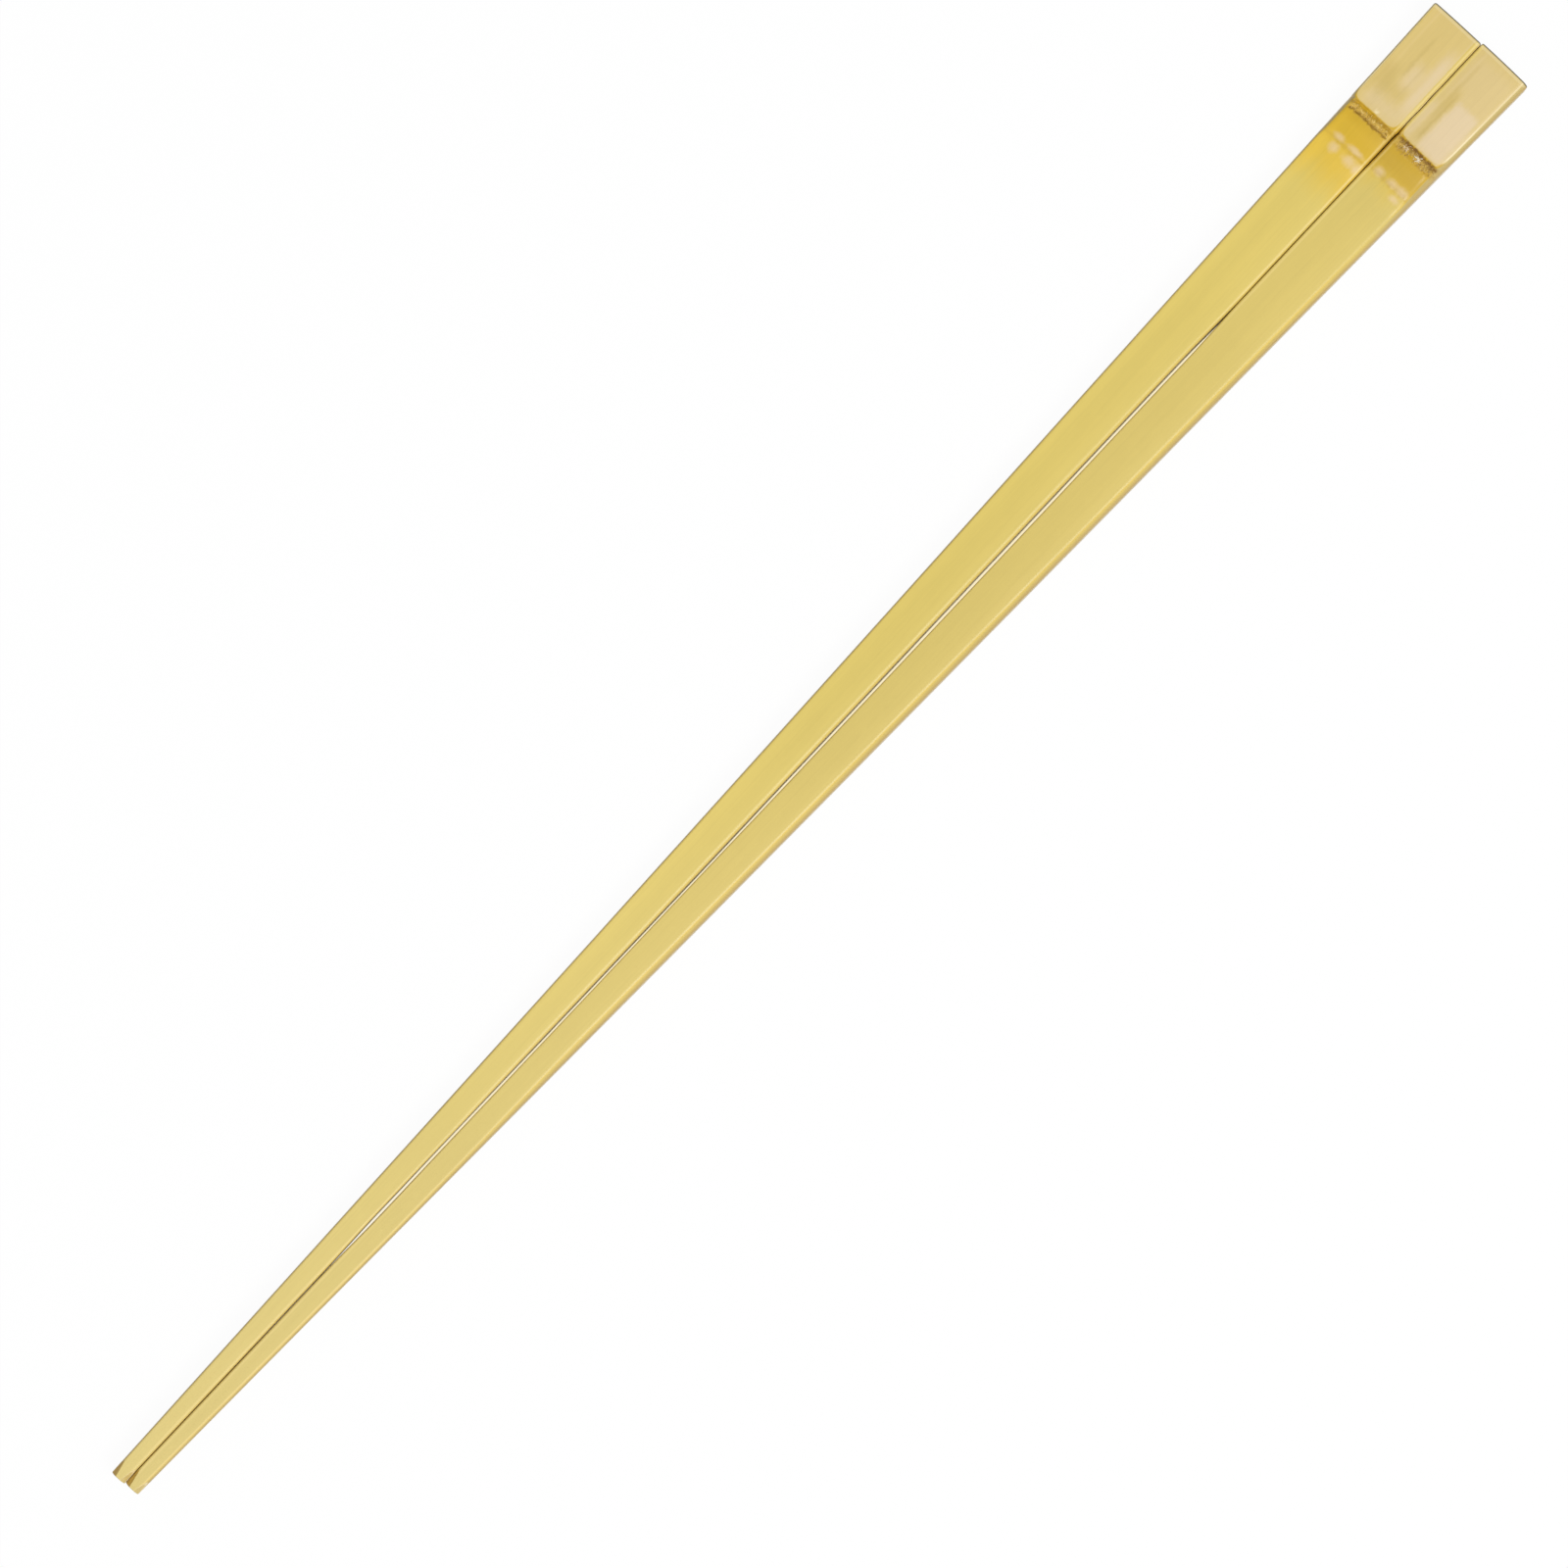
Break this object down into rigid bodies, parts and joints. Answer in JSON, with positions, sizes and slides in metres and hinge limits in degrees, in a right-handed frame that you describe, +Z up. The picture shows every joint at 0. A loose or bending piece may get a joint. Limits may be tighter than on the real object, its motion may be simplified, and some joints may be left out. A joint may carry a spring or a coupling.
{
  "type": "pair of disposable bamboo chopsticks",
  "caption": "Two tapered square bamboo sticks side by side, with thinned, blunt ground tips, soft edges and the cane's ring just below the heads.",
  "frame": {"origin": "on the surface that the pair lies on, below the middle of the pair", "axes": "+X along the seam between the two sticks, from the tips to the heads; +Z up, out of the cane's outside face"},
  "size_m": [0.2402, 0.0152, 0.0053],
  "materials": {
    "left_bamboo": "polished pale bamboo",
    "right_bamboo": "polished pale bamboo"
  },
  "bodies": {
    "root": {"left_chopstick": "left_bamboo", "right_chopstick": "right_bamboo"}
  },
  "joints": []
}
